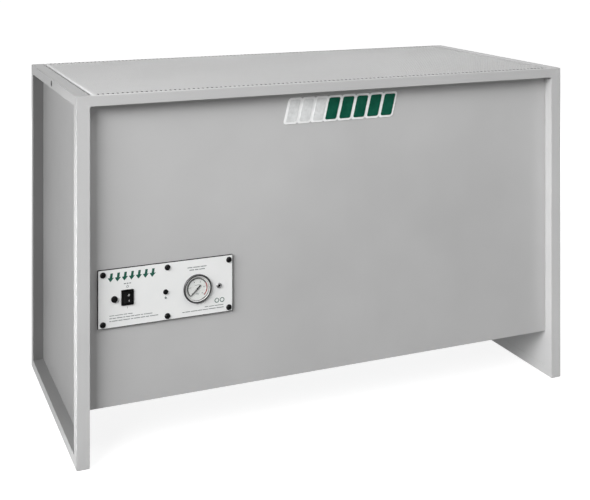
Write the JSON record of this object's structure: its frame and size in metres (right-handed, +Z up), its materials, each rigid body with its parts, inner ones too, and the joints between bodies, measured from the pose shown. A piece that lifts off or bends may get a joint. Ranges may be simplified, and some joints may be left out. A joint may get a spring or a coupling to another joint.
{
  "type": "downdraught extraction bench",
  "caption": "Grey steel bench that draws air down through its perforated worktop and filters; end frames on the floor, control plate with rocker switch and pressure gauge.",
  "frame": {"origin": "floor level, in the middle of the footprint", "axes": "+X to the right along the bench as seen by a person standing in front of it, +Y from the front to the back, +Z up"},
  "size_m": [1.3, 0.67, 0.84],
  "materials": {
    "powder_coat": "fine-textured satin powder coat, neutral light grey",
    "worktop_coat": "satin powder coat on perforated sheet",
    "zinc_sheet": "zinc-coated sheet with a soft spangle",
    "bright_steel": "polished steel",
    "impeller_alloy": "pressed aluminium sheet",
    "plate_white": "satin off-white with printed rules",
    "dial_white": "printed matt dial",
    "badge_plate": "green plate with a white border",
    "moulded_black": "fine-grained black moulding",
    "black_rubber": "matt",
    "clear_glass": "clear",
    "filter_fleece": "needled polyester fleece",
    "pleated_media": "pleated filter paper",
    "filter_frame_board": "fibreboard",
    "motor_paint": "semi-gloss dark paint",
    "lamp_green": "small unlit lamp",
    "clear_tube": "clear flexible tube"
  },
  "bodies": {
    "cabinet": {"left_end_frame": "powder_coat", "right_end_frame": "powder_coat", "left_end_panel": "powder_coat", "right_end_panel": "powder_coat", "front_rail": "powder_coat", "rear_rail": "powder_coat", "left_ledge": "powder_coat", "right_ledge": "powder_coat", "front_panel": "powder_coat", "rear_panel": "powder_coat", "exhaust_grille": "powder_coat", "base_pan": "zinc_sheet", "filter_deck": "zinc_sheet", "fan_plate": "zinc_sheet", "fan_inlet_ring": "zinc_sheet", "motor_stand": "zinc_sheet", "control_box": "zinc_sheet", "gauge_bezel": "bright_steel", "gauge_case": "bright_steel", "test_port": "bright_steel", "left_rail_insert": "bright_steel", "right_rail_insert": "bright_steel", "control_plate": "plate_white", "gauge_dial": "dial_white", "front_badge": "badge_plate", "switch_body": "moulded_black", "fuse_socket": "moulded_black", "alarm_sounder": "moulded_black", "mains_inlet": "moulded_black", "plate_screw_lower_left": "moulded_black", "plate_screw_lower_middle": "moulded_black", "plate_screw_lower_right": "moulded_black", "plate_screw_upper_left": "moulded_black", "plate_screw_upper_middle": "moulded_black", "plate_screw_upper_right": "moulded_black", "plate_gasket": "black_rubber", "filter_gasket": "black_rubber", "front_left_motor_mount": "black_rubber", "front_right_motor_mount": "black_rubber", "rear_left_motor_mount": "black_rubber", "rear_right_motor_mount": "black_rubber", "supply_cable": "black_rubber", "motor_cable": "black_rubber", "gauge_lens": "clear_glass", "fan_motor": "motor_paint", "status_lamp": "lamp_green", "pressure_tube": "clear_tube"},
    "worktop": {"worktop": "worktop_coat", "worktop_rib": "powder_coat"},
    "prefilter": {"prefilter_mat": "filter_fleece"},
    "left_filter": {"left_filter_frame": "filter_frame_board", "left_filter_media": "pleated_media"},
    "right_filter": {"right_filter_frame": "filter_frame_board", "right_filter_media": "pleated_media"},
    "fan_rotor": {"fan_impeller": "impeller_alloy", "fan_shaft": "bright_steel"},
    "rocker": {"switch_rocker": "moulded_black"},
    "needle": {"gauge_needle": "moulded_black"},
    "fuse_carrier": {"fuse_cap": "moulded_black", "fuse_link": "clear_glass"}
  },
  "joints": [
    {"name": "worktop_lift", "type": "slide", "parent": "cabinet", "child": "worktop", "axis": [0, 0, 1], "range_m": [0, 0.6]},
    {"name": "prefilter_lift", "type": "slide", "parent": "cabinet", "child": "prefilter", "axis": [0, 0, 1], "range_m": [0, 0.42]},
    {"name": "left_filter_lift", "type": "slide", "parent": "cabinet", "child": "left_filter", "axis": [0, 0, 1], "range_m": [0, 0.252]},
    {"name": "right_filter_lift", "type": "slide", "parent": "cabinet", "child": "right_filter", "axis": [0, 0, 1], "range_m": [0, 0.252]},
    {"name": "fan_spin", "type": "hinge", "parent": "cabinet", "child": "fan_rotor", "pos_m": [0, 0, 0.33], "axis": [0, 0, 1], "continuous": true},
    {"name": "rocker_tilt", "type": "hinge", "parent": "cabinet", "child": "rocker", "pos_m": [-0.5295, -0.3123, 0.3675], "axis": [1, 0, 0], "range_deg": [0, 20]},
    {"name": "needle_turn", "type": "hinge", "parent": "cabinet", "child": "needle", "pos_m": [-0.3634, -0.3113, 0.366], "axis": [0, 1, 0], "range_deg": [0, 270]},
    {"name": "fuse_pull", "type": "slide", "parent": "cabinet", "child": "fuse_carrier", "axis": [0, -1, 0], "range_m": [0, 0.03]}
  ],
  "couplings": [
    {"joint": "prefilter_lift", "follows": "worktop_lift", "ratio": 0.7},
    {"joint": "left_filter_lift", "follows": "worktop_lift", "ratio": 0.42},
    {"joint": "right_filter_lift", "follows": "worktop_lift", "ratio": 0.42}
  ]
}
